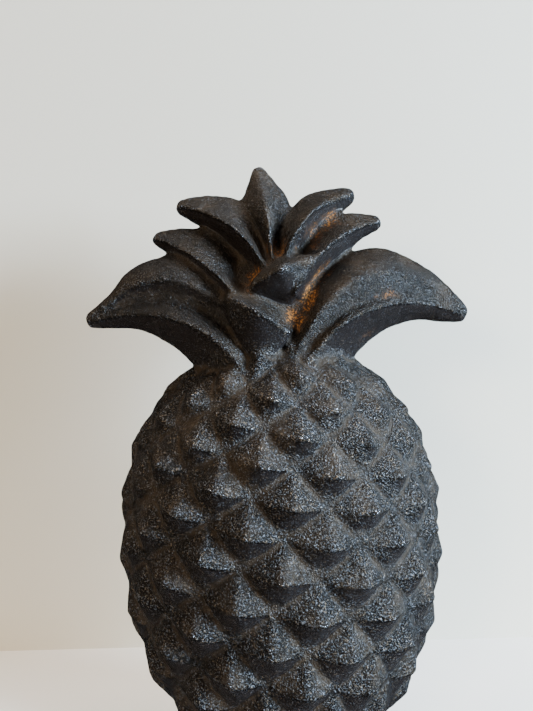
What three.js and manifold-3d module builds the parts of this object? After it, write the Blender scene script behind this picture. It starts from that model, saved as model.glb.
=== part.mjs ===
// Cast iron pineapple ornament, one casting with a flat back and a flat foot.
// Millimetres, +Z up. The carved front faces -Y, and the origin lies under the middle of the box.
import * as THREE from "three";
import { mergeVertices } from "three/addons/utils/BufferGeometryUtils.js";
import Module from "manifold-3d";

// Fruit: its greatest width and depth at the valleys between the scales, and its heights over the foot.
const bodyWidth = 146;
const bodyDepth = 49;
const bodyHeight = 186;
const widestHeight = 93;
const roundnessAboveWidest = 2.4;
const roundnessBelowWidest = 2.1;
// The fruit runs on this far below the flat foot, and a depth fullness under 1 keeps the foot deep.
const footCut = 12;
const depthFullness = 0.8;

// Scales: a net of diamonds that winds round the fruit.
const scaleTurn = 24.6;
const scaleHeight = 28.3;
const scaleDrop = 5.3;
const columnLean = 3.9;
const netTurn = 0.65;
const netHeight = 109;
const rowLift = 0.27;
const rowGrowth = 0.27;
// How far a tip stands out at the front, the share of that at the sides, and how far the tip sags.
const scaleRelief = 7.2;
const sideRelief = 0.36;
const topRelief = 0.85;
const tipSag = 0.02;
const ridgeCurve = 0.16;
// The patch of net that is drawn, in half scales, and how finely.
const firstColumn = -10;
const lastColumn = 10;
const firstRow = -8;
const lastRow = 11;
const netStep = 0.5;
// Rows past either end of the fruit are pressed together this far inside that end.
const endMargin = 1;
const squeeze = 0.004;

// Crown: width over the two big leaves, depth of a crest of 1, and how far its start lies in the fruit.
const crownWidth = 177;
const crownDepth = 40;
const crownSink = 8;
const crownStart = bodyHeight - crownSink;

// Every leaf is drawn in hundredths of the crown's width, from the middle of the neck, x then height.
// Its crest curves from root past bend to tip. above and below are the widths from the crest to the
// two edges at the stations. crest is its depth at even steps from root to tip and rim the depth of its
// edges, both as shares of the crown's depth. heel raises the lower edge. fold puts a second crest on the
// upper side, at that share of the width. hollow is the depth between the two and its place, and slump is
// how far the second crest lies behind the first at the root.
const leafStations = [0, 0.2, 0.4, 0.6, 0.8, 0.9, 1];
const leaves = {
  upperLeft: {
    root: [-1.7, 21.5], bend: [-7.9, 35.6], tip: [-24.8, 40.1], side: -1,
    above: [1.7, 3, 5.1, 7.3, 5.2, 3.5, 1], below: [3.4, 3.6, 3.2, 3.1, 2.9, 2.3, 1],
    crest: [0.62, 0.48, 0.2], rim: [0.2, 0.15],
  },
  upperRight: {
    root: [1.7, 21.5], bend: [6.2, 39], tip: [21.5, 41.8], side: 1,
    above: [1.7, 3, 4.2, 5.1, 3.5, 2.3, 0.9], below: [3.4, 3.8, 3.8, 3.6, 3.4, 2.8, 1],
    crest: [0.62, 0.48, 0.2], rim: [0.2, 0.15],
  },
  secondLeft: {
    root: [-6.8, 12.4], bend: [-16.4, 26], tip: [-31.1, 32.2], side: -1,
    above: [3, 5, 7.4, 8.2, 5.8, 3.7, 1], below: [3.4, 3.2, 2.8, 2.4, 2.2, 2, 1],
    crest: [0.72, 0.56, 0.22], rim: [0.24, 0.16],
  },
  secondRight: {
    root: [4.5, 15.3], bend: [12.4, 31.6], tip: [28.2, 34.5], side: 1,
    above: [2.8, 3.4, 4.5, 5.4, 4.7, 3, 0.9], below: [4, 3.8, 4.1, 4.3, 2.6, 1.9, 0.9],
    crest: [0.7, 0.54, 0.22], rim: [0.24, 0.16],
  },
  top: {
    root: [-0.6, 24.9], bend: [-0.8, 37.9], tip: [-3.7, 49.7], side: -1,
    above: [1, 2.1, 5, 6.2, 3.8, 2.4, 0.8], below: [1, 1.9, 4.6, 6.5, 4, 2.2, 0.7],
    crest: [0.58, 0.42, 0.16], rim: [0.2, 0.14],
  },
  bigLeft: {
    root: [-6.8, -4], bend: [-16.9, 16.4], tip: [-49.3, 10.7], side: -1,
    above: [10, 12, 13.5, 16.3, 12.1, 5.8, 1.6], below: [14.7, 10.5, 8.8, 6.5, 3.4, 3, 1.6],
    crest: [0.76, 0.62, 0.2], rim: [0.4, 0.16], fold: 0.58,
    hollow: [0.15, 0.5], slump: 0.24,
  },
  bigRight: {
    root: [5.6, -3.4], bend: [19.2, 20.3], tip: [50, 9.6], side: 1,
    above: [4.5, 8.5, 13.3, 15.2, 10, 6.4, 2], below: [13.6, 10, 8.3, 6.1, 3.7, 3.3, 1.9],
    crest: [0.66, 0.64, 0.22], rim: [0.3, 0.18], fold: 0.56,
    hollow: [0.09, 0.28], slump: 0.02,
  },
  bud: {
    root: [4.2, 13.2], bend: [3, 18.5], tip: [0.5, 25.2], side: -1,
    above: [0.6, 2.6, 5, 7.4, 8.6, 7, 3.4], below: [0.6, 3.2, 6.6, 9, 7.4, 5, 2.2],
    crest: [0.54, 0.64, 0.76, 0.84, 0.5], rim: [0.46, 0.54, 0.6, 0.62, 0.42],
  },
  front: {
    root: [3.7, 6.4], bend: [-2.7, 11.8], tip: [-12.2, 16.2], side: -1,
    above: [1.2, 2.8, 3.6, 3.7, 3.2, 2.4, 1.2], below: [11.5, 10.8, 9.8, 8.4, 6.2, 4.4, 2],
    crest: [0.68, 0.88, 0.72], rim: [0.5, 0.5], heel: 0.14,
  },
};
const leafSteps = 12;
// The points between crest and edge, as shares of the width, and how hollow the face is.
const faceStations = [0.8, 0.5, 0.25];
const faceHollow = 0.04;
// The lower face bulges: at this share of its width it has dropped by that share of its drop.
const underStation = 0.45;
const underDrop = 0.38;
// A folded face: the second crest's drop as a share of the hollow's depth, and the shoulder outside it.
const foldDrop = 0.15;
const shoulderStation = 0.8;
const shoulderRise = 0.3;
// A leaf ends in a nose of this length: its last section, shrunk to this share.
const noseLength = 0.9;
const noseShare = 0.45;

// The hub behind the leaves: half an ellipsoid, in the same hundredths and shares.
const hub = { height: 10, halfWidth: 21, halfHeight: 19, depth: 0.5 };
const hubSegments = 24;

// How far every rough solid runs on behind the back plane before the back is cut flat.
const backSurplus = 8;

const wasm = await Module();
wasm.setup();

function manifoldFrom(vertices, triangles) {
  const rough = new THREE.BufferGeometry();
  rough.setAttribute("position", new THREE.BufferAttribute(new Float32Array(vertices.flat()), 3));
  rough.setIndex(triangles.flat());
  return solidFrom(rough);
}

function solidFrom(geometry) {
  geometry.deleteAttribute("normal");
  geometry.deleteAttribute("uv");
  const merged = mergeVertices(geometry, 1e-4);
  return new wasm.Manifold(
    new wasm.Mesh({
      numProp: 3,
      vertProperties: new Float32Array(merged.attributes.position.array),
      triVerts: new Uint32Array(merged.index.array),
    }),
  );
}

// A closed solid through rings of points that all have the same count, with a fan over each end.
function loft(rings) {
  const count = rings[0].length;
  const vertices = rings.flat();
  const triangles = [];
  for (let ring = 0; ring + 1 < rings.length; ring += 1) {
    for (let k = 0; k < count; k += 1) {
      const a = ring * count + k;
      const b = ring * count + ((k + 1) % count);
      triangles.push([a, b, b + count], [a, b + count, a + count]);
    }
  }
  for (const [ring, turned] of [[0, true], [rings.length - 1, false]]) {
    const middle = [0, 1, 2].map((axis) => rings[ring].reduce((sum, p) => sum + p[axis], 0) / count);
    const centre = vertices.push(middle) - 1;
    for (let k = 0; k < count; k += 1) {
      const a = ring * count + k;
      const b = ring * count + ((k + 1) % count);
      triangles.push(turned ? [b, a, centre] : [a, b, centre]);
    }
  }
  return manifoldFrom(vertices, triangles);
}

function block(x, y, z, depth, centreY, centreZ) {
  const box = new THREE.BoxGeometry(x, depth, z);
  box.translate(0, centreY, centreZ);
  return solidFrom(box);
}

// Half the width of the fruit at a height over the foot.
function halfWidth(height) {
  const above = height > widestHeight;
  const reach = above ? bodyHeight - widestHeight : widestHeight + footCut;
  const roundness = above ? roundnessAboveWidest : roundnessBelowWidest;
  const share = Math.min(Math.abs(height - widestHeight) / reach, 0.999);
  return (bodyWidth / 2) * Math.sqrt(1 - share ** roundness);
}

function fruitPoint(turn, height, outward) {
  const across = halfWidth(height);
  const depth = bodyDepth * ((2 * across) / bodyWidth) ** depthFullness;
  return [(across + outward) * Math.sin(turn), -(depth + outward) * Math.cos(turn), height];
}

// How far inside its diamond a point of the net lies: 0 on the diamond's edges and 1 at its middle.
function diamond(column, row) {
  const u = (column + row) / 2;
  const v = (column - row) / 2;
  const du = Math.abs(u - Math.floor(u) - 0.5);
  const dv = Math.abs(v - Math.floor(v) - 0.5);
  return 1 - 2 * Math.max(du, dv);
}

// Heights past either end of the fruit are pressed together just inside that end.
function squeezed(height) {
  const top = bodyHeight - endMargin;
  const bottom = endMargin - footCut;
  if (height > top) return top + (height - top) * squeeze;
  if (height < bottom) return bottom + (height - bottom) * squeeze;
  return height;
}

// One point of the scaly surface. Columns and rows are half scales, and rows count downwards.
function scalePoint(column, row) {
  const inside = diamond(column, row);
  const sunk = row + tipSag * inside + ridgeCurve * inside * (1 - inside);
  const degrees = netTurn + (column * scaleTurn - sunk * columnLean) / 2;
  const turn = THREE.MathUtils.degToRad(degrees);
  const level = netHeight - (column * scaleDrop + sunk * scaleHeight) / 2;
  const height = squeezed(level + rowLift * column ** 2 - rowGrowth * sunk ** 2);
  const front = sideRelief + (1 - sideRelief) * Math.max(Math.cos(turn), 0);
  const crowned = THREE.MathUtils.smoothstep(height, widestHeight, bodyHeight);
  const relief = scaleRelief * front * (1 + (topRelief - 1) * crowned);
  return fruitPoint(turn, height, relief * inside);
}

function fruit() {
  const columns = Math.round((lastColumn - firstColumn) / netStep);
  const rows = Math.round((lastRow - firstRow) / netStep);
  const vertices = [];
  const triangles = [];
  const at = (c, r) => r * (columns + 1) + c;
  for (let r = 0; r <= rows; r += 1) {
    for (let c = 0; c <= columns; c += 1) {
      vertices.push(scalePoint(firstColumn + c * netStep, firstRow + r * netStep));
    }
  }
  for (let r = 0; r < rows; r += 1) {
    for (let c = 0; c < columns; c += 1) {
      const [a, b, d, e] = [at(c, r), at(c + 1, r), at(c, r + 1), at(c + 1, r + 1)];
      if ((c + r) % 2 === 0) triangles.push([a, d, e], [a, e, b]);
      else triangles.push([a, d, b], [b, d, e]);
    }
  }
  for (let r = 0; r < rows; r += 1) {
    const [a, b, d, e] = [at(0, r), at(columns, r), at(0, r + 1), at(columns, r + 1)];
    triangles.push([a, b, e], [a, e, d]);
  }
  for (const [r, turned] of [[0, false], [rows, true]]) {
    const [left, right] = [vertices[at(0, r)], vertices[at(columns, r)]];
    const centre = vertices.push(left.map((value, axis) => (value + right[axis]) / 2)) - 1;
    for (let c = 0; c <= columns; c += 1) {
      const next = c === columns ? at(0, r) : at(c + 1, r);
      triangles.push(turned ? [at(c, r), centre, next] : [centre, at(c, r), next]);
    }
  }
  return manifoldFrom(vertices, triangles);
}

const unit = crownWidth / 100;

// A value between evenly spaced stations, on a smooth curve through them.
function along(stations, share) {
  const curve = new THREE.SplineCurve(stations.map((value, k) => new THREE.Vector2(k, value)));
  return curve.getPoint(share).y;
}

// A leaf's front as offsets from its crest and depths, from the upper edge to the lower one.
function leafSection(over, under, high, low, share, { fold = 0, hollow = [0, 0], slump = 0, heel = 0 }) {
  const drop = high - low;
  const openFace = faceStations.map((w) => [over * w, high - drop * w - 4 * faceHollow * w * (1 - w)]);
  const [deepest, hollowStation] = hollow;
  const depth = deepest * (1 - share ** 4);
  const second = high - depth * foldDrop - slump * (1 - share) ** 2;
  const foldedFace = [
    [over * shoulderStation, (low + second) / 2 + depth * shoulderRise],
    [over * fold, second],
    [over * fold * hollowStation, (high + second) / 2 - depth],
  ];
  const upperFace = fold > 0 ? foldedFace : openFace;
  const lowerFace = [-under * underStation, high - (drop - heel) * underDrop];
  return [[over, low], ...upperFace, [0, high], lowerFace, [-under, low + heel]];
}

// One closed section of a leaf, square to its crest and run on behind the back plane.
function leafRing(section, centre, ahead, side) {
  const up = new THREE.Vector2(-side * ahead.y, side * ahead.x);
  const ring = section.map(([offset, depth]) => [
    (centre.x + up.x * offset) * unit,
    -depth * crownDepth,
    crownStart + (centre.y + up.y * offset) * unit,
  ]);
  const first = ring[0];
  const last = ring[ring.length - 1];
  ring.push([last[0], backSurplus, last[2]], [first[0], backSurplus, first[2]]);
  return side > 0 ? ring : ring.reverse();
}

function leaf({ root, bend, tip, side, above, below, crest, rim, ...face }) {
  const spine = new THREE.QuadraticBezierCurve(
    new THREE.Vector2(...root),
    new THREE.Vector2(...bend),
    new THREE.Vector2(...tip),
  );
  const noseStart = 1 - noseLength / spine.getLength();
  const rings = [];
  let section = [];
  for (let step = 0; step <= leafSteps; step += 1) {
    const reach = step / leafSteps;
    const share = along(leafStations, reach) * noseStart;
    const high = along(crest, share);
    const low = along(rim, share);
    section = leafSection(along(above, reach), along(below, reach), high, low, share, face);
    rings.push(leafRing(section, spine.getPoint(share), spine.getTangent(share), side));
  }
  const nose = section.map(([offset, depth]) => [offset * noseShare, depth * noseShare]);
  rings.push(leafRing(nose, spine.getPoint(1), spine.getTangent(1), side));
  return loft(rings);
}

function hubSolid() {
  const ball = new THREE.SphereGeometry(1, hubSegments, hubSegments / 2);
  ball.scale(hub.halfWidth * unit, hub.depth * crownDepth, hub.halfHeight * unit);
  ball.translate(0, 0, crownStart + hub.height * unit);
  return solidFrom(ball);
}

function casting() {
  let solid = fruit().add(hubSolid());
  for (const name of Object.keys(leaves)) {
    solid = solid.add(leaf(leaves[name]));
  }
  const wide = 2 * (bodyWidth + crownWidth);
  const tall = 2 * (bodyHeight + crownWidth);
  solid = solid.subtract(block(wide, 0, 2 * tall, wide, wide / 2, 0));
  return solid.subtract(block(wide, 0, tall, 2 * wide, 0, -tall / 2));
}

function geometryFrom(solid) {
  const mesh = solid.getMesh();
  const geometry = new THREE.BufferGeometry();
  geometry.setAttribute("position", new THREE.BufferAttribute(new Float32Array(mesh.vertProperties), 3));
  geometry.setIndex(new THREE.BufferAttribute(new Uint32Array(mesh.triVerts), 1));
  return geometry;
}

const geometry = geometryFrom(casting());
geometry.computeBoundingBox();
const box = geometry.boundingBox;
geometry.translate(-(box.min.x + box.max.x) / 2, -(box.min.y + box.max.y) / 2, -box.min.z);
geometry.computeVertexNormals();

const castIron = new THREE.MeshStandardMaterial({ color: 0x2c2622, roughness: 0.62, metalness: 0.55 });
const pineapple = new THREE.Mesh(geometry, castIron);
pineapple.name = "pineapple_casting";

const ornament = new THREE.Group();
ornament.name = "cast_iron_pineapple";
ornament.add(pineapple);

export default ornament;
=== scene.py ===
"""Finishes the cast iron pineapple ornament: its scaly fruit, leafy crown and sand-cast iron skin."""

import math

import bmesh
import bpy
import numpy as np
from bpy.props import FloatProperty, FloatVectorProperty, IntProperty, PointerProperty
from mathutils import Matrix, Vector


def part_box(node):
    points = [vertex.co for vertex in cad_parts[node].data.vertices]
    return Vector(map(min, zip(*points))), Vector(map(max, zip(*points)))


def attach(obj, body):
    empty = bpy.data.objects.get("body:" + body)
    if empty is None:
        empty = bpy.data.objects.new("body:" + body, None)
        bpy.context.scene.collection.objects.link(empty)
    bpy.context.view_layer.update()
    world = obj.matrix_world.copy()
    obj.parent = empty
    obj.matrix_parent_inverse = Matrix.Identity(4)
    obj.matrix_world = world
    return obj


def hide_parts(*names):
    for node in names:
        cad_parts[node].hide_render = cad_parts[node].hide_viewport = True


bl_info = {
    "name": "Cast Iron Pineapple",
    "version": (1, 0, 0),
    "blender": (4, 5, 0),
    "location": "3D View > Sidebar > Pineapple",
    "description": "Casts a flat-backed iron pineapple and sets its stage",
    "category": "Object",
}

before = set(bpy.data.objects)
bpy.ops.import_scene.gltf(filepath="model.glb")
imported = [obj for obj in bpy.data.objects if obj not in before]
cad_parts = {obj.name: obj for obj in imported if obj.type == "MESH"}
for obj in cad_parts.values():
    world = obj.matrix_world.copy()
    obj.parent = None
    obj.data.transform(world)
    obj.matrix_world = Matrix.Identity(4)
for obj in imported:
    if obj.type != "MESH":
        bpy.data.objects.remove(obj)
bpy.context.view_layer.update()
NODE = "pineapple_casting"
CAST_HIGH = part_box(NODE)[1]
MM = 0.001


def length(name, description, default):
    """A size in metres, typed here in millimetres."""
    return FloatProperty(
        name=name, description=description, default=default * MM, precision=5, unit="LENGTH"
    )


def angle(name, description, default):
    """An angle, typed here in degrees."""
    return FloatProperty(
        name=name, description=description, default=math.radians(default), precision=4, unit="ROTATION"
    )


def share(name, description, default):
    """A number without a unit."""
    return FloatProperty(name=name, description=description, default=default, precision=4)


def power(name, description, default):
    """A light's power in watts."""
    return FloatProperty(name=name, description=description, default=default, precision=1, unit="POWER")


def colour(name, description, default):
    """A tint, as linear red, green and blue."""
    return FloatVectorProperty(
        name=name, description=description, default=default, size=3, min=0, max=1, subtype="COLOR"
    )


class FruitSizes(bpy.types.PropertyGroup):
    """The fruit's form at the valleys between its scales, and the net that the scales follow."""

    body_width: length("Body width", "Greatest width at the valleys", 146)
    body_depth: length("Body depth", "Depth in front of the flat back", 49)
    body_height: length("Body height", "Height over the foot", 186)
    widest_height: length("Widest height", "Where the fruit is widest", 93)
    foot_cut: length("Foot cut", "How far the fruit would run on below the flat foot", 12)
    roundness_above: share("Roundness above", "Shape of the shoulders", 2.4)
    roundness_below: share("Roundness below", "Shape of the lower half", 2.1)
    depth_fullness: share("Depth fullness", "Under 1 keeps both ends deep", 0.8)
    scale_turn: angle("Scale turn", "One scale's share of the turn round the fruit", 24.6)
    scale_height: length("Scale height", "Height of one scale", 28.3)
    scale_drop: length("Scale drop", "How far the next scale round stands lower", 5.3)
    column_lean: angle("Column lean", "How far a column turns in one scale's height", 3.9)
    net_turn: angle("Net turn", "Turn of the whole net", 0.65)
    net_height: length("Net height", "Height of the middle scale", 109)
    row_lift: length("Row lift", "How the rows curve up at the sides", 0.27)
    row_growth: length("Row growth", "How the rows grow with the distance from the middle", 0.27)
    scale_relief: length("Scale relief", "How far a tip stands out in front", 7.2)
    side_relief: share("Side relief", "Share of the relief that is left at the sides", 0.36)
    top_relief: share("Top relief", "Share of the relief that is left at the top", 1.05)
    tip_sag: share("Tip sag", "How far the tips hang down, in half scales", 0.02)
    ridge_curve: share("Ridge curve", "How much the ridge across a scale smiles", 0.16)
    ridge_softness: share("Ridge softness", "Rounding of the ridge down a scale's hood", 0.08)
    ridge_lean: share("Ridge lean", "How far right of the middle the ridge runs", 0.14)
    smile_softness: share("Smile softness", "Rounding of the ridge across a scale", 0.05)
    groove_softness: share("Groove softness", "Rounding of the grooves", 0.05)
    chin_fullness: share("Chin fullness", "How evenly the face under the ridge is rounded", 0.7)
    chin_dish: share("Chin dish", "How hollow the face under the ridge is", 0.24)
    hood_swell: share("Hood swell", "How full the two faces over the ridge are", 0.04)


class CrownSizes(bpy.types.PropertyGroup):
    """The crown's size. Its leaves are drawn in hundredths of its width."""

    crown_width: length("Crown width", "Width over the two big leaves", 177)
    crown_depth: length("Crown depth", "Depth that a crest of 1 has", 40)
    crown_start: length("Crown start", "Height that the leaves are drawn from", 178)
    face_hollow: share("Face hollow", "How hollow an open face is", 0.04)


class CastingSizes(bpy.types.PropertyGroup):
    """How finely the casting is made, and how uneven its sand mould left it."""

    grid: length("Grid", "Size of the faces", 0.92)
    smoothing: IntProperty(name="Smoothing", description="Rounds that soften every edge", default=2)
    crown_fillet: share("Crown fillet", "How far the valleys of the crown are filled", 0.8)
    crown_rounding: share("Crown rounding", "How far the crests of the crown are worn down", 0.9)
    groove_fillet: share("Groove fillet", "How far the grooves of the fruit are filled", 0.2)
    lump_size: length("Lump size", "Size of the swellings left by the mould", 7)
    lump_height: length("Lump height", "Height of the swellings", 0.35)
    dent_size: length("Dent size", "Size of the smaller dents", 2.4)
    dent_height: length("Dent height", "Height of the smaller dents", 0.22)


class IronColours(bpy.types.PropertyGroup):
    """The finish: near-black iron with bright grains, partly wear and partly painted glints, a painted
    sheen on the faces that look down, brown in the grooves and rusty in the crown.
    """

    iron: colour("Iron", "The dark skin", (0.0045, 0.004, 0.0038))
    brown: colour("Brown", "Thin old rust on faces and in grooves", (0.032, 0.0222, 0.0135))
    # A lighter tone on the faces that look down: painted sheen, standing for the floor's reflection on
    # them.
    sheltered: colour("Sheen_below", "The smooth faces that look down", (0.0135, 0.0112, 0.0112))
    # Bright grains: worn metal on raised spots, and painted glints, bluish like the cool window light.
    worn: colour("Worn", "Bright grains", (0.34, 0.38, 0.45))
    warm_worn: colour("Warm worn", "Bright grains with a breath of rust", (0.38, 0.305, 0.225))
    old_rust: colour("Old rust", "Dull rust in the crown", (0.075, 0.036, 0.015))
    rust: colour("Rust", "Fresh rust on single grains in the crown", (0.42, 0.17, 0.04))
    grain_size: length("Grain size", "Size of the sand grain", 0.68)
    grain_height: length("Grain height", "Depth of the relief that the sand grain shows", 1.3)


class StudioSizes(bpy.types.PropertyGroup):
    """The camera and the light."""

    camera_place: FloatVectorProperty(
        name="Camera place",
        description="Where the camera stands",
        default=(-5.0 * MM, -231.06 * MM, 191.8 * MM),
        precision=5,
        subtype="TRANSLATION",
    )
    camera_pitch: angle("Camera pitch", "How far the camera looks down", 2.865)
    camera_roll: angle("Camera roll", "How far the camera leans", -1.53)
    focal_share: share("Focal share", "Focal length as a share of the frame's height", 550 / 711)
    backdrop_gap: length("Backdrop gap", "Space between the flat back and the backdrop", 66)
    window: power("Window", "Power of the cool window light on the right", 62)
    lamp: power("Lamp", "Power of the warm lamp in front on the left", 8)
    ceiling: power("Ceiling", "Power of the ceiling light over the floor", 7.5)


SIZES = {
    "pineapple_fruit": FruitSizes,
    "pineapple_crown": CrownSizes,
    "pineapple_casting": CastingSizes,
    "pineapple_iron": IronColours,
    "pineapple_studio": StudioSizes,
}


class Term:
    """One number in a node tree. Arithmetic on terms adds Math nodes."""

    def __init__(self, tree, socket):
        self.tree = tree
        self.socket = socket

    def maths(self, operation, *others):
        return maths(self.tree, operation, self, *others)

    def __add__(self, other):
        return self.maths("ADD", other)

    def __radd__(self, other):
        return self.maths("ADD", other)

    def __sub__(self, other):
        return self.maths("SUBTRACT", other)

    def __rsub__(self, other):
        return maths(self.tree, "SUBTRACT", other, self)

    def __mul__(self, other):
        return self.maths("MULTIPLY", other)

    def __truediv__(self, other):
        return self.maths("DIVIDE", other)

    def __pow__(self, other):
        return self.maths("POWER", other)


def feed(tree, socket, value):
    """Links a term to a socket, or sets the socket to a plain value."""
    if isinstance(value, Term):
        tree.links.new(value.socket, socket)
    else:
        socket.default_value = value


def maths(tree, operation, *values):
    """Adds a Math node and returns its result."""
    node = tree.nodes.new("ShaderNodeMath")
    node.operation = operation
    for socket, value in zip(node.inputs, values):
        feed(tree, socket, value)
    return Term(tree, node.outputs[0])


def node_with(tree, kind, output, settings=None, **inputs):
    """Adds a node, sets its inputs by name and returns one of its outputs."""
    node = tree.nodes.new(kind)
    for name, value in (settings or {}).items():
        setattr(node, name, value)
    for name, value in inputs.items():
        feed(tree, node.inputs[name.replace("_", " ")], value)
    return Term(tree, node.outputs[output])


def smooth_step(value, start, end):
    """0 before start, 1 after end and smooth between them."""
    return node_with(
        value.tree,
        "ShaderNodeMapRange",
        "Result",
        {"interpolation_type": "SMOOTHSTEP"},
        Value=value,
        From_Min=start,
        From_Max=end,
    )


def choose(flag, yes, no):
    """Yes where the flag is 1 and no where it is 0."""
    return no + (yes - no) * flag


def group_inputs(tree, names):
    """Adds number inputs to a node tree and returns them as terms."""
    for name in names:
        tree.interface.new_socket(name=name, in_out="INPUT", socket_type="NodeSocketFloat")
    node = tree.nodes.new("NodeGroupInput")
    return {name: Term(tree, node.outputs[name]) for name in names}


def set_modifier_inputs(modifier, values):
    """Sets a modifier's inputs, given by name."""
    for item in modifier.node_group.interface.items_tree:
        if item.item_type == "SOCKET" and item.in_out == "INPUT" and item.name in values:
            modifier[item.identifier] = values[item.name]


def finished_mesh(obj, name):
    """The object's mesh with its modifiers done, as a plain mesh."""
    bpy.context.view_layer.update()
    graph = bpy.context.evaluated_depsgraph_get()
    mesh = bpy.data.meshes.new_from_object(obj.evaluated_get(graph))
    mesh.name = name
    return mesh


def object_from(mesh, name):
    obj = bpy.data.objects.new(name, mesh)
    bpy.context.scene.collection.objects.link(obj)
    return obj


def drop(obj):
    mesh = obj.data
    bpy.data.objects.remove(obj)
    bpy.data.meshes.remove(mesh)


# The fruit. A scale is a diamond two columns wide and two rows high, with NET_STEPS faces to a column or
# a row. What runs past the top or the bottom of the fruit is squeezed to a sliver there.

NET_COLUMNS = 20
NET_ROWS = 19
FIRST_ROW = -8
NET_STEPS = 22
END_MARGIN = 1 * MM
SQUEEZE = 0.004
FULL_REACH = 0.999
CHIN_RUN = 0.45
LEAST_ROUNDING = 0.001
LEAST_BREADTH = 0.01


def fruit_tree():
    """A tree that winds a grid round the fruit and raises it to a tip in the middle of every scale."""
    tree = bpy.data.node_groups.new("Scaly fruit", "GeometryNodeTree")
    tree.interface.new_socket(name="Geometry", in_out="OUTPUT", socket_type="NodeSocketGeometry")
    s = group_inputs(tree, FruitSizes.__annotations__)
    tree.interface.new_socket(name="Material", in_out="INPUT", socket_type="NodeSocketMaterial")

    grid = tree.nodes.new("GeometryNodeMeshGrid")
    grid.inputs["Size X"].default_value = NET_COLUMNS
    grid.inputs["Size Y"].default_value = NET_ROWS
    grid.inputs["Vertices X"].default_value = NET_COLUMNS * NET_STEPS + 1
    grid.inputs["Vertices Y"].default_value = NET_ROWS * NET_STEPS + 1
    position = Term(tree, tree.nodes.new("GeometryNodeInputPosition").outputs[0])
    column = node_with(tree, "ShaderNodeSeparateXYZ", "X", Vector=position)
    upward = node_with(tree, "ShaderNodeSeparateXYZ", "Y", Vector=position)
    row = FIRST_ROW + NET_ROWS / 2 - upward

    inside = scale_form(tree, s, column, row)

    sunk = row + s["tip_sag"] * inside + s["ridge_curve"] * inside * (1 - inside)
    turn = s["net_turn"] + (column * s["scale_turn"] - sunk * s["column_lean"]) / 2
    level = s["net_height"] - (column * s["scale_drop"] + sunk * s["scale_height"]) / 2
    height = level + s["row_lift"] * column * column - s["row_growth"] * sunk * sunk
    top = s["body_height"] - END_MARGIN
    height = height.maths("MINIMUM", top) + (height - top).maths("MAXIMUM", 0) * SQUEEZE
    bottom = END_MARGIN - s["foot_cut"]
    height = height.maths("MAXIMUM", bottom) + (height - bottom).maths("MINIMUM", 0) * SQUEEZE

    above = height.maths("GREATER_THAN", s["widest_height"])
    reach = choose(above, s["body_height"] - s["widest_height"], s["widest_height"] + s["foot_cut"])
    roundness = choose(above, s["roundness_above"], s["roundness_below"])
    reached = ((height - s["widest_height"]).maths("ABSOLUTE") / reach).maths("MINIMUM", FULL_REACH)
    half = s["body_width"] / 2
    across = half * (1 - reached**roundness).maths("SQRT")
    depth = s["body_depth"] * (across / half) ** s["depth_fullness"]

    facing = turn.maths("COSINE").maths("MAXIMUM", 0)
    front = s["side_relief"] + (1 - s["side_relief"]) * facing
    crowned = smooth_step(height, s["widest_height"], s["body_height"])
    relief = s["scale_relief"] * front * (1 + (s["top_relief"] - 1) * crowned) * inside

    place = node_with(
        tree,
        "ShaderNodeCombineXYZ",
        "Vector",
        X=(across + relief) * turn.maths("SINE"),
        Y=(depth + relief) * turn.maths("COSINE") * -1,
        Z=height,
    )
    set_place = tree.nodes.new("GeometryNodeSetPosition")
    tree.links.new(grid.outputs["Mesh"], set_place.inputs["Geometry"])
    feed(tree, set_place.inputs["Position"], place)
    end_tree(tree, set_place.outputs["Geometry"])
    return tree


def scale_form(tree, s, column, row):
    """How far a point of the net stands out: 0 in the grooves round a scale and about 1 at its tip."""
    first = ((column + row) / 2).maths("FRACT") - 0.5
    second = ((column - row) / 2).maths("FRACT") - 0.5
    downward = first - second
    upright = downward.maths("ABSOLUTE")
    breadth = 1 - upright
    lean = s["ridge_lean"]
    from_ridge = first + second - lean * breadth
    aside = (from_ridge / (1 - lean)).maths("MAXIMUM", (0 - from_ridge) / (1 + lean))
    inside = (breadth - aside).maths("MAXIMUM", 0)

    hood_ridge = (breadth / 2).maths("MINIMUM", s["ridge_softness"]).maths("MAXIMUM", LEAST_ROUNDING)
    smile_ridge = ((1 - aside) / 2).maths("MINIMUM", s["smile_softness"])
    smile_ridge = smile_ridge.maths("MAXIMUM", LEAST_ROUNDING)
    chin = smooth_step(downward, 0.0, CHIN_RUN)
    even = 1 + aside / breadth.maths("MAXIMUM", LEAST_BREADTH) * chin * s["chin_fullness"]
    rounded = (hood_ridge - aside).maths("MAXIMUM", 0) ** 2 / hood_ridge / 2
    levelled = (smile_ridge - upright).maths("MAXIMUM", 0) ** 2 / smile_ridge / 2
    below = downward.maths("MAXIMUM", 0) * inside * s["chin_dish"] * 4
    over = (0 - downward).maths("MAXIMUM", 0) * inside * s["hood_swell"] * 4
    form = (inside * even - rounded - levelled - below + over).maths("MAXIMUM", 0)
    groove = s["groove_softness"]
    return (form * form + groove * groove).maths("SQRT") - groove


def end_tree(tree, geometry):
    """Realize Instances, Set Material and the group output."""
    realize = tree.nodes.new("GeometryNodeRealizeInstances")
    finish = tree.nodes.new("GeometryNodeSetMaterial")
    source = tree.nodes.new("NodeGroupInput")
    output = tree.nodes.new("NodeGroupOutput")
    tree.links.new(geometry, realize.inputs[0])
    tree.links.new(realize.outputs[0], finish.inputs["Geometry"])
    tree.links.new(source.outputs["Material"], finish.inputs["Material"])
    tree.links.new(finish.outputs[0], output.inputs[0])


def with_tree(obj, tree, values):
    """Runs a node tree on an object and returns the result as a plain mesh."""
    modifier = obj.modifiers.new(tree.name, "NODES")
    modifier.node_group = tree
    set_modifier_inputs(modifier, values)
    mesh = finished_mesh(obj, obj.name)
    obj.modifiers.remove(modifier)
    return mesh


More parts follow.
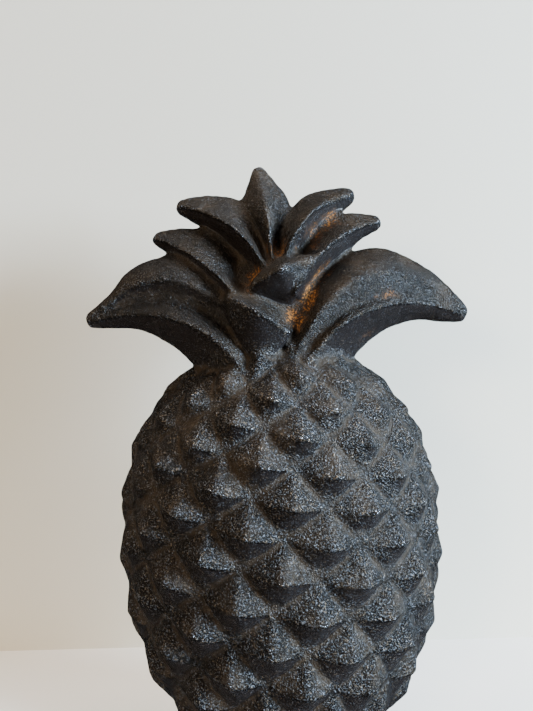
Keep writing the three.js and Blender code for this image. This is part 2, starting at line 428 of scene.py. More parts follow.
def closed_behind(mesh, back):
    """Runs the open rim of a surface straight back to a plane and closes it there."""
    bm = bmesh.new()
    bm.from_mesh(mesh)
    rim = [edge for edge in bm.edges if edge.is_boundary]
    made = bmesh.ops.extrude_edge_only(bm, edges=rim)["geom"]
    for vert in (part for part in made if isinstance(part, bmesh.types.BMVert)):
        vert.co.y = back
    loop = [part for part in made if isinstance(part, bmesh.types.BMEdge)]
    bmesh.ops.contextual_create(bm, geom=loop)
    bmesh.ops.recalc_face_normals(bm, faces=bm.faces)
    bm.to_mesh(mesh)
    bm.free()
    return mesh


# The crown. A leaf's crest curves from root past bend to tip. above and below are the widths from the
# crest to the two edges at the stations, crest is its depth at even steps and rim the depth of its edges.
# A big leaf has a second crest at the share fold of its upper width, a trough between the two whose depth
# and place hollow gives, and a slump of the second crest at the root. heel deepens a lower edge.

LEAF_STATIONS = (0, 0.2, 0.4, 0.6, 0.8, 0.9, 1)
LEAVES = {
    "upper_left": {
        "root": (-1.7, 21.5), "bend": (-7.9, 35.6), "tip": (-24.8, 40.1), "side": -1,
        "above": (1.7, 3, 5.1, 7.3, 5.2, 3.6, 1.9), "below": (3.4, 3.6, 3.2, 3.1, 2.9, 2.5, 1.8),
        "crest": (0.62, 0.48, 0.2), "rim": (0.2, 0.15), "fold": 0,
    },
    "upper_right": {
        "root": (1.7, 21.5), "bend": (6.2, 39), "tip": (21.5, 41.8), "side": 1,
        "above": (1.7, 3, 4.2, 5.1, 3.6, 2.7, 1.9), "below": (3.4, 3.8, 3.8, 3.6, 3.4, 3, 2),
        "crest": (0.62, 0.48, 0.2), "rim": (0.2, 0.15), "fold": 0,
    },
    "second_left": {
        "root": (-6.8, 12.4), "bend": (-16.4, 26), "tip": (-31.1, 32.2), "side": -1,
        "above": (3, 5, 7.4, 8.2, 5.8, 3.8, 1.8), "below": (3.4, 3.2, 2.8, 2.4, 2.2, 2.1, 1.7),
        "crest": (0.72, 0.56, 0.22), "rim": (0.24, 0.16), "fold": 0,
    },
    "second_right": {
        "root": (4.5, 15.3), "bend": (12.4, 31.6), "tip": (28.2, 34.5), "side": 1,
        "above": (2.8, 3.4, 4.5, 5.4, 4.7, 3.2, 1.9), "below": (4, 3.8, 4.1, 4.3, 2.7, 2.2, 1.8),
        "crest": (0.7, 0.54, 0.22), "rim": (0.24, 0.16), "fold": 0,
    },
    "top": {
        "root": (-0.6, 24.9), "bend": (-0.8, 37.9), "tip": (-3.7, 49.6), "side": -1,
        "above": (1, 2.1, 5, 6.2, 4, 2.9, 1.7), "below": (1, 1.9, 4.6, 6.5, 4.2, 2.8, 1.6),
        "crest": (0.58, 0.42, 0.16), "rim": (0.2, 0.14), "fold": 0,
    },
    "big_left": {
        "root": (-6.8, -4), "bend": (-16.9, 16.4), "tip": (-49.3, 10.7), "side": -1,
        "above": (10, 12, 13.5, 16.3, 12.1, 6, 2.1), "below": (14.7, 10.5, 8.8, 6.5, 3.4, 3, 2),
        "crest": (0.76, 0.62, 0.2), "rim": (0.4, 0.16), "fold": 0.58,
        "hollow": (0.15, 0.5), "slump": 0.24,
    },
    "big_right": {
        "root": (5.6, -3.4), "bend": (19.2, 20.3), "tip": (50, 9.6), "side": 1,
        "above": (4.5, 8.5, 13.3, 15.2, 10, 6.4, 2.4), "below": (13.6, 10, 8.3, 6.1, 3.7, 3.3, 2.2),
        "crest": (0.66, 0.64, 0.22), "rim": (0.3, 0.18), "fold": 0.56,
        "hollow": (0.09, 0.28), "slump": 0.02,
    },
    "bud": {
        "root": (4.2, 13.2), "bend": (3, 18.5), "tip": (0.5, 25.2), "side": -1,
        "above": (0.6, 2.6, 5, 7.4, 8.6, 7, 3.4), "below": (0.6, 3.2, 6.6, 9, 7.4, 5, 2.2),
        "crest": (0.54, 0.64, 0.76, 0.84, 0.5), "rim": (0.46, 0.54, 0.6, 0.62, 0.42), "fold": 0,
    },
    "front": {
        "root": (3.7, 6.4), "bend": (-2.7, 11.8), "tip": (-12.2, 16.2), "side": -1,
        "above": (1.2, 2.8, 3.6, 3.7, 3.2, 2.4, 1.2), "below": (11.5, 10.8, 9.8, 8.4, 6.2, 4.4, 2),
        "crest": (0.68, 0.88, 0.72), "rim": (0.5, 0.5), "fold": 0, "heel": 0.14,
    },
}
LEAF_STEPS = 64
FACE_STEPS = 5
SHOULDER_STATION = 0.8
SHOULDER_RISE = 0.3
FOLD_DROP = 0.15
UNDER_STATION = 0.45
UNDER_DROP = 0.38
FACE_STATIONS = (0.8, 0.5, 0.25)
SPINE_STEPS = 50
NOSE_LENGTH = 0.9
NOSE_SHARE = 0.55
NOSE_STATIONS = (0.35, 0.65, 0.85, 1)
BACK_SURPLUS = 8 * MM

# Half eggs behind the leaves. The second fills the pit between the roots of the front leaf and of the
# right big leaf.

HUBS = (
    {"place": (0, 10), "half_size": (21, 19), "depth": 0.5},
    {"place": (3.8, 2.6), "half_size": (3.6, 4.8), "depth": 0.6},
)
HUB_SEGMENTS = 96


def along(stations, place):
    """A value between evenly spaced stations, on a smooth curve through them."""
    last = len(stations) - 1
    first = min(int(place * last), last - 1)
    t = place * last - first
    before, start, end, after = (
        stations[max(first - 1, 0)],
        stations[first],
        stations[first + 1],
        stations[min(first + 2, last)],
    )
    slope_in = (end - before) / 2
    slope_out = (after - start) / 2
    square = t * t
    cube = square * t
    return (
        (2 * start - 2 * end + slope_in + slope_out) * cube
        + (-3 * start + 3 * end - 2 * slope_in - slope_out) * square
        + slope_in * t
        + start
    )


def leaf_section(leaf, over, under, high, low, place, crown):
    """A leaf's front as offsets from its crest and depths, from the upper edge to the lower one."""
    drop_to_rim = high - low
    fold = leaf["fold"]
    if fold:
        deepest, station = leaf["hollow"]
        hollow = deepest * (1 - place**4)
        upper_crest = high - hollow * FOLD_DROP - leaf["slump"] * (1 - place) ** 2
        upper = [
            (over, low),
            (over * SHOULDER_STATION, (low + upper_crest) / 2 + hollow * SHOULDER_RISE),
            (over * fold, upper_crest),
            (over * fold * station, (high + upper_crest) / 2 - hollow),
        ]
    else:
        upper = [(over, low)]
        for reach in FACE_STATIONS:
            dish = 4 * crown.face_hollow * reach * (1 - reach)
            upper.append((over * reach, high - drop_to_rim * reach - dish))
    heel = low + leaf.get("heel", 0)
    under_face = high + (heel - high) * UNDER_DROP
    corners = upper + [(0, high), (-under * UNDER_STATION, under_face), (-under, heel)]
    section = []
    for start, end in zip(corners, corners[1:]):
        for step in range(FACE_STEPS):
            part = step / FACE_STEPS
            section.append(tuple(a + (b - a) * part for a, b in zip(start, end)))
    section.append(corners[-1])
    return section


def leaf_rings(leaf, crown):
    """Closed sections of one leaf, square to its crest and run on behind the back plane."""
    unit = crown.crown_width / 100
    root, bend, tip = (Vector(leaf[name]) for name in ("root", "bend", "tip"))
    side = leaf["side"]

    def spine(t):
        return root * (1 - t) ** 2 + bend * 2 * t * (1 - t) + tip * t**2

    def heading(t):
        return ((bend - root) * (1 - t) + (tip - bend) * t).normalized()

    spots = [spine(step / SPINE_STEPS) for step in range(SPINE_STEPS + 1)]
    run = sum((before - after).length for before, after in zip(spots, spots[1:]))
    nose_start = 1 - NOSE_LENGTH / run

    def ring(section, t):
        centre = spine(t)
        ahead = heading(t)
        up = Vector((-side * ahead.y, side * ahead.x))
        points = []
        for offset, depth in section:
            place = (centre + up * offset) * unit
            points.append((place.x, -depth * crown.crown_depth, crown.crown_start + place.y))
        points.append((points[-1][0], BACK_SURPLUS, points[-1][2]))
        points.append((points[0][0], BACK_SURPLUS, points[0][2]))
        return points if side > 0 else points[::-1]

    rings = []
    for step in range(LEAF_STEPS + 1):
        reach = step / LEAF_STEPS
        t = along(LEAF_STATIONS, reach) * nose_start
        section = leaf_section(
            leaf,
            along(leaf["above"], reach),
            along(leaf["below"], reach),
            along(leaf["crest"], t),
            along(leaf["rim"], t),
            t,
            crown,
        )
        rings.append(ring(section, t))
    for part in NOSE_STATIONS:
        size = 1 - (1 - NOSE_SHARE) * part**2
        nose = [(offset * size, depth * size) for offset, depth in section]
        rings.append(ring(nose, nose_start + (1 - nose_start) * part))
    return rings


def add_loft(bm, rings):
    """Adds a closed solid through rings of points that all have the same count."""
    rows = [[bm.verts.new(point) for point in ring] for ring in rings]
    count = len(rows[0])
    for row, following in zip(rows, rows[1:]):
        for k in range(count):
            after = (k + 1) % count
            bm.faces.new((row[k], row[after], following[after], following[k]))
    bm.faces.new(rows[0][::-1])
    bm.faces.new(rows[-1])


def add_hubs(bm, crown):
    """Half eggs behind the leaves."""
    unit = crown.crown_width / 100
    for hub in HUBS:
        aside, height = hub["place"]
        half_width, half_height = hub["half_size"]
        place = Matrix.Translation((aside * unit, 0, crown.crown_start + height * unit))
        size = Matrix.Diagonal(
            (half_width * unit, hub["depth"] * crown.crown_depth, half_height * unit, 1)
        )
        bmesh.ops.create_uvsphere(
            bm,
            u_segments=HUB_SEGMENTS,
            v_segments=HUB_SEGMENTS // 2,
            radius=1,
            matrix=place @ size,
        )


# The casting. The rounds say over how wide a stretch the surface is compared with its surroundings, and
# the crown's share of the rounding runs from CROWN_LEAD at its start to 1 within about CROWN_RAMP.

SHRINK = 0.5
SWELL = -0.53
CROWN_LEAD = 0.3
CROWN_RAMP = 8 * MM
VALLEY_ROUNDS = 33
GROOVE_ROUNDS = 10
CREST_ROUNDS = 18
CROWN_GROOVE_FILLET = 0.3
EDGE_ROUNDS = 7
BASIN_ROUNDS = 92
FACE_ROUNDS = 3
CUT_TOLERANCE = 1e-7
SHARP_ANGLE = math.radians(60)
LUMP_SIZES = ("lump_size", "lump_height", "dent_size", "dent_height")


def lump_tree():
    """A tree that swells and dents a surface along its normals, as a sand mould leaves it."""
    tree = bpy.data.node_groups.new("Mould lumps", "GeometryNodeTree")
    tree.interface.new_socket(name="Geometry", in_out="OUTPUT", socket_type="NodeSocketGeometry")
    tree.interface.new_socket(name="Geometry", in_out="INPUT", socket_type="NodeSocketGeometry")
    s = group_inputs(tree, LUMP_SIZES)
    tree.interface.new_socket(name="Material", in_out="INPUT", socket_type="NodeSocketMaterial")
    source = tree.nodes.new("NodeGroupInput")
    place = Term(tree, tree.nodes.new("GeometryNodeInputPosition").outputs[0])
    normal = Term(tree, tree.nodes.new("GeometryNodeInputNormal").outputs[0])
    lump_scale = maths(tree, "DIVIDE", 1, s["lump_size"])
    lumps = node_with(tree, "ShaderNodeTexNoise", 0, Vector=place, Scale=lump_scale, Detail=1.0)
    dent_scale = maths(tree, "DIVIDE", 1, s["dent_size"])
    dents = node_with(tree, "ShaderNodeTexNoise", 0, Vector=place, Scale=dent_scale, Detail=2.0)
    height = (lumps - 0.5) * s["lump_height"] * 2 + (dents - 0.5) * s["dent_height"] * 2
    push = node_with(
        tree, "ShaderNodeVectorMath", "Vector", {"operation": "SCALE"}, Vector=normal, Scale=height
    )
    set_place = tree.nodes.new("GeometryNodeSetPosition")
    tree.links.new(source.outputs["Geometry"], set_place.inputs["Geometry"])
    feed(tree, set_place.inputs["Offset"], push)
    end_tree(tree, set_place.outputs["Geometry"])
    return tree


class Surface:
    """A mesh's points as an array, with the means over each point's neighbours."""

    def __init__(self, mesh):
        self.mesh = mesh
        self.count = len(mesh.vertices)
        self.points = np.empty(self.count * 3)
        mesh.vertices.foreach_get("co", self.points)
        self.points = self.points.reshape(-1, 3)
        edges = np.empty(len(mesh.edges) * 2, np.int64)
        mesh.edges.foreach_get("vertices", edges)
        edges = edges.reshape(-1, 2)
        self.here = np.concatenate((edges[:, 0], edges[:, 1]))
        self.there = np.concatenate((edges[:, 1], edges[:, 0]))
        self.valence = np.bincount(self.here, minlength=self.count)

    def mean(self, values):
        """The mean of every point's neighbours."""
        sums = [
            np.bincount(self.here, weights=column[self.there], minlength=self.count)
            for column in values.T
        ]
        return np.stack(sums, 1) / self.valence[:, None]

    def smoothed(self, values, rounds, strength=SHRINK):
        """Values moved towards the mean of their neighbours, round by round."""
        for _ in range(rounds):
            values = values + (self.mean(values) - values) * strength
        return values

    def soften(self, rounds):
        """Smooths without shrinking."""
        for _ in range(rounds):
            self.points = self.smoothed(self.points, 1)
            self.points = self.smoothed(self.points, 1, SWELL)
        self.store()

    def fill_hollows(self, rounds, amount):
        """Raises every hollow towards its smoothed surroundings, as sand leaves inner corners round."""
        lift = ((self.smoothed(self.points, rounds) - self.points) * self.normals()).sum(1)
        self.points += (np.maximum(lift, 0) * amount)[:, None] * self.normals()
        self.store()

    def round_ridges(self, rounds, amount):
        """Wears every ridge down towards its smoothed surroundings."""
        lift = ((self.smoothed(self.points, rounds) - self.points) * self.normals()).sum(1)
        self.points += (np.minimum(lift, 0) * amount)[:, None] * self.normals()
        self.store()

    def store(self):
        self.mesh.vertices.foreach_set("co", self.points.ravel())
        self.mesh.update()

    def normals(self):
        found = np.empty(self.count * 3, np.float32)
        self.mesh.vertices.foreach_get("normal", found)
        return found.reshape(-1, 3)

    def hollow(self, rounds):
        """How far the surface lies below its surroundings, in millimetres. Ridges come out negative."""
        return ((self.smoothed(self.points, rounds) - self.points) * self.normals()).sum(1) / MM

    def keep(self, name, values):
        """Keeps values on the mesh for its material."""
        self.mesh.attributes.new(name, "FLOAT", "POINT").data.foreach_set(
            "value", values.astype(np.float32)
        )


def cut_flat(mesh, place, outward):
    """Cuts a mesh at a plane and closes the cut with a flat face."""
    bm = bmesh.new()
    bm.from_mesh(mesh)
    everything = bm.verts[:] + bm.edges[:] + bm.faces[:]
    bmesh.ops.bisect_plane(
        bm,
        geom=everything,
        dist=CUT_TOLERANCE,
        plane_co=place,
        plane_no=outward,
        clear_outer=True,
    )
    rim = [edge for edge in bm.edges if edge.is_boundary]
    bmesh.ops.triangle_fill(bm, edges=rim, use_beauty=True, normal=outward)
    bmesh.ops.recalc_face_normals(bm, faces=bm.faces)
    bm.to_mesh(mesh)
    bm.free()


def joined_forms(fruit, crown, material):
    """The fruit, the leaves and the half eggs as overlapping closed forms in one mesh."""
    blank = object_from(bpy.data.meshes.new("blank"), "blank")
    sizes = {name: getattr(fruit, name) for name in FruitSizes.__annotations__}
    mesh = with_tree(blank, fruit_tree(), {**sizes, "Material": material})
    drop(blank)
    closed_behind(mesh, BACK_SURPLUS + fruit.body_depth)
    bm = bmesh.new()
    bm.from_mesh(mesh)
    for leaf in LEAVES.values():
        add_loft(bm, leaf_rings(leaf, crown))
    add_hubs(bm, crown)
    bmesh.ops.recalc_face_normals(bm, faces=bm.faces)
    bm.to_mesh(mesh)
    bm.free()
    return mesh


def even_skin(mesh, grid):
    """An object with one skin of even faces over everything in a mesh."""
    rough = object_from(mesh, "rough")
    remesh = rough.modifiers.new("Grid", "REMESH")
    remesh.mode = "VOXEL"
    remesh.voxel_size = grid
    remesh.use_smooth_shade = True
    even = object_from(finished_mesh(rough, "even"), "even")
    drop(rough)
    return even


def round_corners(surface, crown, casting):
    """Rounds every edge, fills the inner corners and wears the crests of the crown."""
    surface.soften(casting.smoothing)
    over_crown_start = surface.points[:, 2] - crown.crown_start
    crown_share = np.clip(over_crown_start / CROWN_RAMP + CROWN_LEAD, 0, 1)
    surface.fill_hollows(VALLEY_ROUNDS, crown_share * casting.crown_fillet)
    surface.fill_hollows(GROOVE_ROUNDS, casting.groove_fillet + crown_share * CROWN_GROOVE_FILLET)
    surface.round_ridges(CREST_ROUNDS, crown_share * casting.crown_rounding)
    surface.soften(1)


def keep_relief(surface):
    """Keeps how hollow the surface is, near and far, and how far it looks down."""
    surface.keep("hollow", surface.hollow(EDGE_ROUNDS))
    surface.keep("basin", surface.hollow(BASIN_ROUNDS))
    surface.keep("chin", surface.smoothed(surface.normals()[:, 2:], FACE_ROUNDS)[:, 0] * -1)


def stand_in_place(mesh):
    """Centres a casting over the origin, with its flat back where the solid's is."""
    surface = Surface(mesh)
    middle = (surface.points[:, 0].min() + surface.points[:, 0].max()) / 2
    surface.points += (-middle, CAST_HIGH.y, 0)
    surface.store()


def cover_with(mesh, material):
    """Gives every face one material and smooth shading, but for sharp edges."""
    mesh.set_sharp_from_angle(angle=SHARP_ANGLE)
    mesh.materials.clear()
    mesh.materials.append(material)
    mesh.polygons.foreach_set("material_index", [0] * len(mesh.polygons))
    mesh.polygons.foreach_set("use_smooth", [True] * len(mesh.polygons))


# The finish. The pairs say where each look starts and where it is full: the first five by how far the
# surface lies under or over its surroundings in millimetres, the next two by its slope, the leaves by their
# height and the rest by noise.

GROOVE = (0.06, 0.32)
VALLEY = (0.0, 1.6)
RIDGE = (0.05, 0.4)
CREST = (1.0, 2.4)
RUSTY_HOLLOW = (-0.2, 0.9)
UNDERSIDE = (0.1, 0.5)
TOPSIDE = (0.1, 0.45)
LEAFY = (178 * MM, 190 * MM)
FLECKED = (0.52, 0.68)
STREAKED = (0.3, 0.65)
BROWNED = (0.4, 0.8)
WARM = (0.44, 0.6)
FRESH = (0.57, 0.66)

# Noises, each by how many swellings it has in a metre, how detailed it is and how rough.

BLOTCHES = (70, 4.0, 0.6)
STREAKS = (330, 3.0, 0.6)
WARMTH = (800, 1.0, 0.5)
RUST_EDGE = (260, 4.0, 0.65)
RUST_GRAINS = (1200, 2.0, 0.6)
SHEEN = 0.26

# The back and the foot are flat, so what is read off the relief stops this far before them.

FLAT_MARGIN = 0.02 * MM

# Centres and reaches of the rusty patches in millimetres.

RUST_PATCHES = (
    ((21, 8, 217), 9),
    ((14, 8, 206), 10),
    ((8, 6, 196), 7),
    ((20, 12, 233), 10),
    ((26, 15, 241), 9),
    ((2, 11, 227), 8),
    ((-9, 8, 213), 8),
    ((50, 4, 202), 9),
    ((40, 17, 187), 8),
)


def shader_group(name, inputs, outputs):
    """A shader node group with named inputs, as (tree, terms by name, output node)."""
    tree = bpy.data.node_groups.new(name, "ShaderNodeTree")
    kinds = {"number": "NodeSocketFloat", "vector": "NodeSocketVector", "colour": "NodeSocketColor"}
    for label, kind in inputs:
        tree.interface.new_socket(name=label, in_out="INPUT", socket_type=kinds[kind])
    for label, kind in outputs:
        tree.interface.new_socket(name=label, in_out="OUTPUT", socket_type=kinds[kind])
    source = tree.nodes.new("NodeGroupInput")
    output = tree.nodes.new("NodeGroupOutput")
    return tree, {label: Term(tree, source.outputs[label]) for label, _ in inputs}, output


def noise(tree, place, scale, detail, roughness):
    """Noise between 0 and 1."""
    return node_with(
        tree,
        "ShaderNodeTexNoise",
        0,
        Vector=place,
        Scale=scale,
        Detail=detail,
        Roughness=roughness,
    )


def mixed(tree, amount, first, second):
    """The second colour over the first by an amount."""
    node = tree.nodes.new("ShaderNodeMix")
    node.data_type = "RGBA"
    feed(tree, node.inputs["Factor"], amount)
    feed(tree, node.inputs[6], first)
    feed(tree, node.inputs[7], second)
    return Term(tree, node.outputs[2])


def use_group(tree, group, **inputs):
    """Adds a group node, sets its inputs by name and returns its outputs by name."""
    node = tree.nodes.new("ShaderNodeGroup")
    node.node_tree = group
    for name, value in inputs.items():
        feed(tree, node.inputs[name.replace("_", " ")], value)
    return {output.name: Term(tree, output) for output in node.outputs}


def grain_group():
    """Sand grain: a height for the bump, and flecks where a grain stands proud."""
    tree, s, output = shader_group(
        "Sand grain",
        [("Place", "vector"), ("Scale", "number"), ("Calm", "number")],
        [("Height", "number"), ("Flecks", "number")],
    )
    fine = noise(tree, s["Place"], s["Scale"], 2.0, 0.6)
    coarse = noise(tree, s["Place"], s["Scale"] * 0.42, 2.0, 0.5)
    cells = node_with(
        tree,
        "ShaderNodeTexVoronoi",
        "Distance",
        {"feature": "SMOOTH_F1"},
        Vector=s["Place"],
        Scale=s["Scale"] * 0.8,
    )
    height = (fine * 0.7 + coarse * 0.3 + (1 - cells) * 0.3) * (1 - s["Calm"] * 0.75)
    flecks = smooth_step(fine, *FLECKED) * (1 - s["Calm"] * 0.65)
    feed(tree, output.inputs["Height"], height)
    feed(tree, output.inputs["Flecks"], flecks)
    return tree


def patch_group():
    """A soft round patch about a centre, broken up by noise."""
    tree, s, output = shader_group(
        "Broken patch",
        [("Place", "vector"), ("Centre", "vector"), ("Reach", "number"), ("Break Up", "number")],
        [("Patch", "number")],
    )
    between = tree.nodes.new("ShaderNodeVectorMath")
    between.operation = "DISTANCE"
    feed(tree, between.inputs[0], s["Place"])
    feed(tree, between.inputs[1], s["Centre"])
    near = 1 - Term(tree, between.outputs["Value"]) / s["Reach"]
    feed(tree, output.inputs["Patch"], smooth_step(near + s["Break Up"], 0.0, 0.8))
    return tree


def rust_amount(tree, place):
    """How rusty the crown is: the strongest of the patches, broken up at their edges."""
    patches = patch_group()
    break_up = (noise(tree, place, *RUST_EDGE) - 0.5) * 1.6
    amount = None
    for centre, reach in RUST_PATCHES:
        point = tuple(value * MM for value in centre)
        found = use_group(
            tree, patches, Place=place, Centre=point, Reach=reach * MM, Break_Up=break_up
        )["Patch"]
        amount = found if amount is None else amount.maths("MAXIMUM", found)
    return amount


def iron_material(colours):
    """Sand-cast iron: dark skin, brown in the grooves, bright grains that are partly wear and partly
    painted glints, a painted sheen on the faces that look down, and rust in the crown.
    """
    material = bpy.data.materials.new("sand_cast_iron")
    material.use_nodes = True
    tree = material.node_tree
    principled = tree.nodes["Principled BSDF"]
    place = Term(tree, tree.nodes.new("ShaderNodeTexCoord").outputs["Object"])
    level = node_with(tree, "ShaderNodeSeparateXYZ", "Z", Vector=place)
    inward = node_with(tree, "ShaderNodeSeparateXYZ", "Y", Vector=place)
    cast = inward.maths("LESS_THAN", CAST_HIGH.y - FLAT_MARGIN) * level.maths("GREATER_THAN", FLAT_MARGIN)
    hollow, basin, chin = (
        cast * node_with(tree, "ShaderNodeAttribute", "Fac", {"attribute_name": name})
        for name in ("hollow", "basin", "chin")
    )

    groove = smooth_step(hollow, *GROOVE)
    valley = smooth_step(basin, *VALLEY)
    ridge = smooth_step(hollow * -1, *RIDGE)
    crest = smooth_step(basin * -1, *CREST)
    under = smooth_step(chin, *UNDERSIDE)
    leafy = smooth_step(level, *LEAFY)
    leaf_top = leafy * smooth_step(chin * -1, *TOPSIDE)

    calm = under.maths("MAXIMUM", valley * 0.25)
    grain = use_group(tree, grain_group(), Place=place, Scale=1 / colours.grain_size, Calm=calm)
    blotches = noise(tree, place, *BLOTCHES)
    streaks = noise(tree, place, *STREAKS)
    # Fewer bright grains in grooves and valleys, where nothing wears, and half as many on the tops of the
    # leaves, which is painted shade there.
    open_face_and_top_shade = (1 - groove * 0.9) * (1 - valley * 0.3) * (1 - leaf_top * 0.5)
    # More bright grains on ridges, where the iron wears, and along the crests, most of all in the crown: a
    # painted highlight band where the window catches a crest.
    leaf_crest_glint = leafy * crest
    raised_and_crest_glint = ridge * 0.6 + crest * 0.35 + leaf_crest_glint * 0.6 + 0.35 - leafy * 0.17
    wear_and_glints = raised_and_crest_glint * open_face_and_top_shade * grain["Flecks"] * (0.4 + smooth_step(streaks, *STREAKED))
    wear_and_glints = wear_and_glints.maths("MINIMUM", 1)
    browned = blotches + valley * 0.1 + groove * 0.4 - under * 0.3
    brown_amount = smooth_step(browned, *BROWNED)
    # The faces that look down take a lighter tone: painted sheen for the floor's reflection.
    skin = mixed(tree, under, (*colours.iron, 1), (*colours.sheltered, 1))
    skin = mixed(tree, brown_amount, skin, (*colours.brown, 1))
    # The glints on the crown's crests stay cool, the colour of the window light.
    warmth = smooth_step(noise(tree, place, *WARMTH), *WARM) * (1 - leaf_crest_glint)
    grains = mixed(tree, warmth, (*colours.worn, 1), (*colours.warm_worn, 1))
    skin = mixed(tree, wear_and_glints, skin, grains)

    rust = rust_amount(tree, place) * smooth_step(basin + hollow, *RUSTY_HOLLOW)
    skin = mixed(tree, rust * 0.65, skin, (*colours.old_rust, 1))
    fresh = smooth_step(noise(tree, place, *RUST_GRAINS) + rust * 0.1, *FRESH) * rust
    skin = mixed(tree, fresh, skin, (*colours.rust, 1))
    feed(tree, principled.inputs["Base Color"], skin)

    roughness = 0.25 + valley * 0.2 + groove * 0.2 + rust * 0.3 + (blotches - 0.5) * 0.2
    feed(tree, principled.inputs["Roughness"], roughness)
    principled.inputs["Specular IOR Level"].default_value = SHEEN
    feed(tree, principled.inputs["Metallic"], wear_and_glints * (1 - rust))
    bump = tree.nodes.new("ShaderNodeBump")
    bump.inputs["Strength"].default_value = 1
    bump.inputs["Distance"].default_value = colours.grain_height
    feed(tree, bump.inputs["Height"], grain["Height"])
    tree.links.new(bump.outputs["Normal"], principled.inputs["Normal"])
    return material


# The stage. Places and sizes are in metres.

MIDDLE = (0, 0, CAST_HIGH.z / 2)
LIGHTS = {
    "window": {
        "place": (1, -0.42, 0.36),
        "target": MIDDLE,
        "size": (0.4, 0.4),
        "tint": (0.66, 0.83, 1),
    },
    "lamp": {
        "place": (-0.6, -0.8, 0.5),
        "target": MIDDLE,
        "size": (0.3, 0.3),
        "tint": (1, 0.8, 0.58),
    },
    "ceiling": {
        "place": (0, 0.02, 1),
        "target": (0, 0.02, 0),
        "size": (0.9, 0.15),
        "tint": (1, 0.86, 0.72),
    },
}
FLOOR_TINT = (0.9, 0.885, 0.87)
FLOOR_ROUGHNESS = 0.7
BACKDROP_TINT = (0.8, 0.757, 0.65)
BACKDROP_ROUGHNESS = 0.8
SKY_TINT = (0.93, 0.95, 1, 1)
SKY_STRENGTH = 0.03
STAGE_REACH = 3
FLOOR_FRONT = -0.12
SENSOR_WIDTH = 36
NEAREST_SEEN = 0.01


def plain_material(name, tint, roughness):
    material = bpy.data.materials.new(name)
    material.use_nodes = True
    principled = material.node_tree.nodes["Principled BSDF"]
    principled.inputs["Base Color"].default_value = (*tint, 1)
    principled.inputs["Roughness"].default_value = roughness
    return material


def hide_backfaces(material):
    """Lets the backdrop be looked through from behind."""
    tree = material.node_tree
    principled = tree.nodes["Principled BSDF"]
    output = tree.nodes["Material Output"]
    clear = tree.nodes.new("ShaderNodeBsdfTransparent")
    either = tree.nodes.new("ShaderNodeMixShader")
    facing = tree.nodes.new("ShaderNodeNewGeometry")
    tree.links.new(facing.outputs["Backfacing"], either.inputs["Fac"])
    tree.links.new(principled.outputs["BSDF"], either.inputs[1])
    tree.links.new(clear.outputs["BSDF"], either.inputs[2])
    tree.links.new(either.outputs["Shader"], output.inputs["Surface"])


def sheet_from(name, corners, material):
    """A flat sheet of the stage. The iron doesn't mirror it."""
    mesh = bpy.data.meshes.new(name)
    mesh.from_pydata(corners, [], [(0, 1, 2, 3)])
    mesh.materials.append(material)
    sheet = object_from(mesh, name)
    sheet.visible_glossy = False


def add_light(name, energy, place, target, size, tint):
    """A rectangular light that looks at its target."""
    data = bpy.data.lights.new(name, "AREA")
    data.shape = "RECTANGLE"
    data.size, data.size_y = size
    data.energy = energy
    data.color = tint
    light = bpy.data.objects.new(name, data)
    light.location = place
    light.rotation_euler = (Vector(target) - Vector(place)).to_track_quat("-Z", "Y").to_euler()
    bpy.context.scene.collection.objects.link(light)


def dim_sky():
    """A faint cool light from everywhere."""
    world = bpy.data.worlds.new("studio")
    world.use_nodes = True
    background = world.node_tree.nodes["Background"]
    background.inputs["Color"].default_value = SKY_TINT
    background.inputs["Strength"].default_value = SKY_STRENGTH
    return world


def camera_at(place, pitch, roll, focal_share):
    """A camera that looks along +Y, tipped down by its pitch and leaning by its roll."""
    ahead = Vector((0, math.cos(pitch), -math.sin(pitch)))
    right = Vector((1, 0, 0))
    up = right.cross(ahead)
    leaning_right = math.cos(roll) * right + math.sin(roll) * up
    leaning_up = -math.sin(roll) * right + math.cos(roll) * up
    data = bpy.data.cameras.new("camera")
    data.sensor_width = SENSOR_WIDTH
    data.lens = SENSOR_WIDTH * focal_share
    data.clip_start = NEAREST_SEEN
    camera = bpy.data.objects.new("camera", data)
    turn = Matrix((leaning_right, leaning_up, -ahead)).transposed()
    camera.matrix_world = Matrix.Translation(place) @ turn.to_4x4()
    bpy.context.scene.collection.objects.link(camera)
    return camera


class PINEAPPLE_OT_casting(bpy.types.Operator):
    """Casts the fruit and the crown in one and finishes the iron"""

    bl_idname = "pineapple.casting"
    bl_label = "Cast the pineapple"

    def execute(self, context):
        scene = context.scene
        fruit = scene.pineapple_fruit
        crown = scene.pineapple_crown
        casting = scene.pineapple_casting
        material = iron_material(scene.pineapple_iron)

        even = even_skin(joined_forms(fruit, crown, material), casting.grid)
        round_corners(Surface(even.data), crown, casting)
        lumps = {name: getattr(casting, name) for name in LUMP_SIZES}
        mesh = with_tree(even, lump_tree(), {**lumps, "Material": material})
        drop(even)
        keep_relief(Surface(mesh))
        cut_flat(mesh, (0, 0, 0), (0, 1, 0))
        cut_flat(mesh, (0, 0, 0), (0, 0, -1))
        stand_in_place(mesh)
        cover_with(mesh, material)

        piece = object_from(mesh, "pineapple_iron")
        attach(piece, "root")
        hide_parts(NODE)
        return {"FINISHED"}


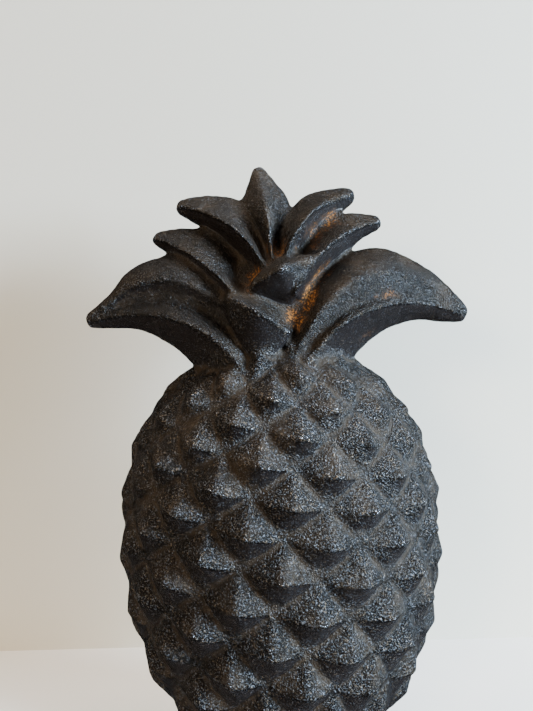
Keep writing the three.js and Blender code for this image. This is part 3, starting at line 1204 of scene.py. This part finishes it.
class PINEAPPLE_OT_stage(bpy.types.Operator):
    """Sets the floor, the backdrop, the light and the camera"""

    bl_idname = "pineapple.stage"
    bl_label = "Set the stage"

    def execute(self, context):
        scene = context.scene
        studio = scene.pineapple_studio
        floor = plain_material("pale_floor", FLOOR_TINT, FLOOR_ROUGHNESS)
        backdrop = plain_material("pale_backdrop", BACKDROP_TINT, BACKDROP_ROUGHNESS)
        far = STAGE_REACH
        near = FLOOR_FRONT
        sheet_from("floor", [(-far, near, 0), (far, near, 0), (far, far, 0), (-far, far, 0)], floor)
        back = CAST_HIGH.y + studio.backdrop_gap
        hide_backfaces(backdrop)
        corners = [(-far, back, 0), (far, back, 0), (far, back, far), (-far, back, far)]
        sheet_from("backdrop", corners, backdrop)

        for name, light in LIGHTS.items():
            add_light(name, getattr(studio, name), **light)
        scene.world = dim_sky()
        scene.camera = camera_at(
            studio.camera_place, studio.camera_pitch, studio.camera_roll, studio.focal_share
        )
        return {"FINISHED"}


class PINEAPPLE_PT_panel(bpy.types.Panel):
    """Lists what can be made, with its sizes and colours"""

    bl_idname = "PINEAPPLE_PT_panel"
    bl_label = "Cast Iron Pineapple"
    bl_space_type = "VIEW_3D"
    bl_region_type = "UI"
    bl_category = "Pineapple"

    def draw(self, context):
        for operator in OPERATORS:
            self.layout.operator(operator.bl_idname)
        for key, group in SIZES.items():
            column = self.layout.column(align=True)
            for name in group.__annotations__:
                column.prop(getattr(context.scene, key), name)


OPERATORS = (PINEAPPLE_OT_casting, PINEAPPLE_OT_stage)


def register():
    for made in (*SIZES.values(), *OPERATORS, PINEAPPLE_PT_panel):
        bpy.utils.register_class(made)
    for key, group in SIZES.items():
        setattr(bpy.types.Scene, key, PointerProperty(type=group))


def unregister():
    for key in SIZES:
        delattr(bpy.types.Scene, key)
    for made in reversed((*SIZES.values(), *OPERATORS, PINEAPPLE_PT_panel)):
        bpy.utils.unregister_class(made)


def main():
    register()
    bpy.ops.pineapple.casting()
    bpy.ops.pineapple.stage()


if __name__ == "__main__":
    main()
